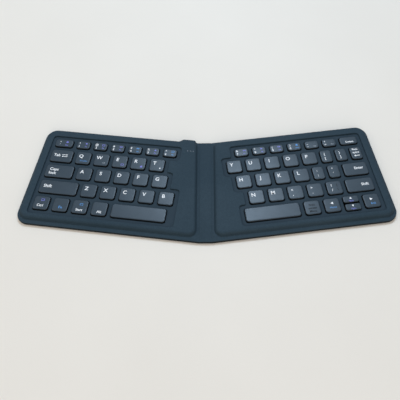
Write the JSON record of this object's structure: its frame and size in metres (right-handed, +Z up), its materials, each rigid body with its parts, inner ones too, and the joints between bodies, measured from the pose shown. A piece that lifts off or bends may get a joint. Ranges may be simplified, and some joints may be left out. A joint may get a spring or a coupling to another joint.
{
  "type": "folding keyboard",
  "caption": "Slim folding keyboard: two splayed halves with scissor keys, hinged on the creases of a flexible spine so that they close face to face.",
  "frame": {"origin": "on the table under the middle of the opened keyboard's box, on the spine's centre line", "axes": "+X to the typist's right, +Y away from the typist, +Z up out of the keys"},
  "size_m": [0.3218, 0.1204, 0.0068],
  "materials": {
    "cover_skin": "matte, fine-grained soft skin, dark slate blue",
    "key_web": "matte moulded plastic, dark slate",
    "keycap": "matte moulded plastic with a slight sheen, slate",
    "steel_plate": "plain rolled sheet",
    "membrane_film": "printed polyester film",
    "silicone_dome": "translucent silicone",
    "link_plastic": "natural acetal",
    "flex_film": "amber polyimide",
    "battery_pouch": "satin foil pouch",
    "circuit_board": "solder mask",
    "socket_shell": "plated shell",
    "light_lens": "clear lens",
    "magnet_plating": "nickel plate"
  },
  "bodies": {
    "left_half": {"left_top_cover": "cover_skin", "left_bottom_cover": "cover_skin", "left_key_frame": "key_web", "left_base_plate": "steel_plate", "left_membrane": "membrane_film", "left_domes": "silicone_dome", "left_scissor_links": "link_plastic", "control_board": "circuit_board", "charging_socket": "socket_shell", "indicator_lights": "light_lens"},
    "spine": {"spine_cover": "cover_skin", "flex_cable": "flex_film"},
    "right_half": {"right_top_cover": "cover_skin", "right_bottom_cover": "cover_skin", "right_key_frame": "key_web", "right_base_plate": "steel_plate", "right_membrane": "membrane_film", "right_domes": "silicone_dome", "right_scissor_links": "link_plastic", "battery": "battery_pouch", "closure_magnets": "magnet_plating"},
    "key_q": {"key_q": "keycap"},
    "key_w": {"key_w": "keycap"},
    "key_e": {"key_e": "keycap"},
    "key_r": {"key_r": "keycap"},
    "key_t": {"key_t": "keycap"},
    "key_a": {"key_a": "keycap"},
    "key_s": {"key_s": "keycap"},
    "key_d": {"key_d": "keycap"},
    "key_f": {"key_f": "keycap"},
    "key_g": {"key_g": "keycap"},
    "key_z": {"key_z": "keycap"},
    "key_x": {"key_x": "keycap"},
    "key_c": {"key_c": "keycap"},
    "key_v": {"key_v": "keycap"},
    "key_b": {"key_b": "keycap"},
    "key_tab": {"key_tab": "keycap"},
    "key_caps_lock": {"key_caps_lock": "keycap"},
    "key_left_shift": {"key_left_shift": "keycap"},
    "key_left_space": {"key_left_space": "keycap"},
    "left_number_keys": {"left_number_keys": "keycap"},
    "left_modifier_keys": {"left_modifier_keys": "keycap"},
    "key_p": {"key_p": "keycap"},
    "key_o": {"key_o": "keycap"},
    "key_i": {"key_i": "keycap"},
    "key_u": {"key_u": "keycap"},
    "key_y": {"key_y": "keycap"},
    "key_l": {"key_l": "keycap"},
    "key_k": {"key_k": "keycap"},
    "key_j": {"key_j": "keycap"},
    "key_h": {"key_h": "keycap"},
    "key_m": {"key_m": "keycap"},
    "key_n": {"key_n": "keycap"},
    "key_backspace": {"key_backspace": "keycap"},
    "key_enter": {"key_enter": "keycap"},
    "key_right_shift": {"key_right_shift": "keycap"},
    "key_right_space": {"key_right_space": "keycap"},
    "right_number_keys": {"right_number_keys": "keycap"},
    "punctuation_keys": {"punctuation_keys": "keycap"},
    "arrow_keys": {"arrow_keys": "keycap"}
  },
  "joints": [
    {"name": "left_crease", "type": "hinge", "parent": "left_half", "child": "spine", "pos_m": [-0.0056, 0, 0.0016], "axis": [0, -1, 0], "range_deg": [0, 90], "deforming": ["flex_cable"]},
    {"name": "right_crease", "type": "hinge", "parent": "spine", "child": "right_half", "pos_m": [0.0056, 0, 0.0016], "axis": [0, -1, 0], "range_deg": [0, 90]},
    {"name": "key_q_travel", "type": "slide", "parent": "left_half", "child": "key_q", "axis": [0, 0, -1], "range_m": [0, 0.0015], "stiffness_N_per_m": 300},
    {"name": "key_w_travel", "type": "slide", "parent": "left_half", "child": "key_w", "axis": [0, 0, -1], "range_m": [0, 0.0015], "stiffness_N_per_m": 300},
    {"name": "key_e_travel", "type": "slide", "parent": "left_half", "child": "key_e", "axis": [0, 0, -1], "range_m": [0, 0.0015], "stiffness_N_per_m": 300},
    {"name": "key_r_travel", "type": "slide", "parent": "left_half", "child": "key_r", "axis": [0, 0, -1], "range_m": [0, 0.0015], "stiffness_N_per_m": 300},
    {"name": "key_t_travel", "type": "slide", "parent": "left_half", "child": "key_t", "axis": [0, 0, -1], "range_m": [0, 0.0015], "stiffness_N_per_m": 300},
    {"name": "key_a_travel", "type": "slide", "parent": "left_half", "child": "key_a", "axis": [0, 0, -1], "range_m": [0, 0.0015], "stiffness_N_per_m": 300},
    {"name": "key_s_travel", "type": "slide", "parent": "left_half", "child": "key_s", "axis": [0, 0, -1], "range_m": [0, 0.0015], "stiffness_N_per_m": 300},
    {"name": "key_d_travel", "type": "slide", "parent": "left_half", "child": "key_d", "axis": [0, 0, -1], "range_m": [0, 0.0015], "stiffness_N_per_m": 300},
    {"name": "key_f_travel", "type": "slide", "parent": "left_half", "child": "key_f", "axis": [0, 0, -1], "range_m": [0, 0.0015], "stiffness_N_per_m": 300},
    {"name": "key_g_travel", "type": "slide", "parent": "left_half", "child": "key_g", "axis": [0, 0, -1], "range_m": [0, 0.0015], "stiffness_N_per_m": 300},
    {"name": "key_z_travel", "type": "slide", "parent": "left_half", "child": "key_z", "axis": [0, 0, -1], "range_m": [0, 0.0015], "stiffness_N_per_m": 300},
    {"name": "key_x_travel", "type": "slide", "parent": "left_half", "child": "key_x", "axis": [0, 0, -1], "range_m": [0, 0.0015], "stiffness_N_per_m": 300},
    {"name": "key_c_travel", "type": "slide", "parent": "left_half", "child": "key_c", "axis": [0, 0, -1], "range_m": [0, 0.0015], "stiffness_N_per_m": 300},
    {"name": "key_v_travel", "type": "slide", "parent": "left_half", "child": "key_v", "axis": [0, 0, -1], "range_m": [0, 0.0015], "stiffness_N_per_m": 300},
    {"name": "key_b_travel", "type": "slide", "parent": "left_half", "child": "key_b", "axis": [0, 0, -1], "range_m": [0, 0.0015], "stiffness_N_per_m": 300},
    {"name": "key_tab_travel", "type": "slide", "parent": "left_half", "child": "key_tab", "axis": [0, 0, -1], "range_m": [0, 0.0015], "stiffness_N_per_m": 300},
    {"name": "key_caps_lock_travel", "type": "slide", "parent": "left_half", "child": "key_caps_lock", "axis": [0, 0, -1], "range_m": [0, 0.0015], "stiffness_N_per_m": 300},
    {"name": "key_left_shift_travel", "type": "slide", "parent": "left_half", "child": "key_left_shift", "axis": [0, 0, -1], "range_m": [0, 0.0015], "stiffness_N_per_m": 300},
    {"name": "key_left_space_travel", "type": "slide", "parent": "left_half", "child": "key_left_space", "axis": [0, 0, -1], "range_m": [0, 0.0015], "stiffness_N_per_m": 300, "deforming": ["left_domes", "left_scissor_links"]},
    {"name": "left_number_keys_travel", "type": "slide", "parent": "left_half", "child": "left_number_keys", "axis": [0, 0, -1], "range_m": [0, 0.0015], "stiffness_N_per_m": 300},
    {"name": "left_modifier_keys_travel", "type": "slide", "parent": "left_half", "child": "left_modifier_keys", "axis": [0, 0, -1], "range_m": [0, 0.0015], "stiffness_N_per_m": 300},
    {"name": "key_p_travel", "type": "slide", "parent": "right_half", "child": "key_p", "axis": [0, 0, -1], "range_m": [0, 0.0015], "stiffness_N_per_m": 300},
    {"name": "key_o_travel", "type": "slide", "parent": "right_half", "child": "key_o", "axis": [0, 0, -1], "range_m": [0, 0.0015], "stiffness_N_per_m": 300},
    {"name": "key_i_travel", "type": "slide", "parent": "right_half", "child": "key_i", "axis": [0, 0, -1], "range_m": [0, 0.0015], "stiffness_N_per_m": 300},
    {"name": "key_u_travel", "type": "slide", "parent": "right_half", "child": "key_u", "axis": [0, 0, -1], "range_m": [0, 0.0015], "stiffness_N_per_m": 300},
    {"name": "key_y_travel", "type": "slide", "parent": "right_half", "child": "key_y", "axis": [0, 0, -1], "range_m": [0, 0.0015], "stiffness_N_per_m": 300},
    {"name": "key_l_travel", "type": "slide", "parent": "right_half", "child": "key_l", "axis": [0, 0, -1], "range_m": [0, 0.0015], "stiffness_N_per_m": 300},
    {"name": "key_k_travel", "type": "slide", "parent": "right_half", "child": "key_k", "axis": [0, 0, -1], "range_m": [0, 0.0015], "stiffness_N_per_m": 300},
    {"name": "key_j_travel", "type": "slide", "parent": "right_half", "child": "key_j", "axis": [0, 0, -1], "range_m": [0, 0.0015], "stiffness_N_per_m": 300},
    {"name": "key_h_travel", "type": "slide", "parent": "right_half", "child": "key_h", "axis": [0, 0, -1], "range_m": [0, 0.0015], "stiffness_N_per_m": 300},
    {"name": "key_m_travel", "type": "slide", "parent": "right_half", "child": "key_m", "axis": [0, 0, -1], "range_m": [0, 0.0015], "stiffness_N_per_m": 300},
    {"name": "key_n_travel", "type": "slide", "parent": "right_half", "child": "key_n", "axis": [0, 0, -1], "range_m": [0, 0.0015], "stiffness_N_per_m": 300},
    {"name": "key_backspace_travel", "type": "slide", "parent": "right_half", "child": "key_backspace", "axis": [0, 0, -1], "range_m": [0, 0.0015], "stiffness_N_per_m": 300},
    {"name": "key_enter_travel", "type": "slide", "parent": "right_half", "child": "key_enter", "axis": [0, 0, -1], "range_m": [0, 0.0015], "stiffness_N_per_m": 300},
    {"name": "key_right_shift_travel", "type": "slide", "parent": "right_half", "child": "key_right_shift", "axis": [0, 0, -1], "range_m": [0, 0.0015], "stiffness_N_per_m": 300},
    {"name": "key_right_space_travel", "type": "slide", "parent": "right_half", "child": "key_right_space", "axis": [0, 0, -1], "range_m": [0, 0.0015], "stiffness_N_per_m": 300, "deforming": ["right_domes", "right_scissor_links"]},
    {"name": "right_number_keys_travel", "type": "slide", "parent": "right_half", "child": "right_number_keys", "axis": [0, 0, -1], "range_m": [0, 0.0015], "stiffness_N_per_m": 300},
    {"name": "punctuation_keys_travel", "type": "slide", "parent": "right_half", "child": "punctuation_keys", "axis": [0, 0, -1], "range_m": [0, 0.0015], "stiffness_N_per_m": 300},
    {"name": "arrow_keys_travel", "type": "slide", "parent": "right_half", "child": "arrow_keys", "axis": [0, 0, -1], "range_m": [0, 0.0015], "stiffness_N_per_m": 300}
  ]
}
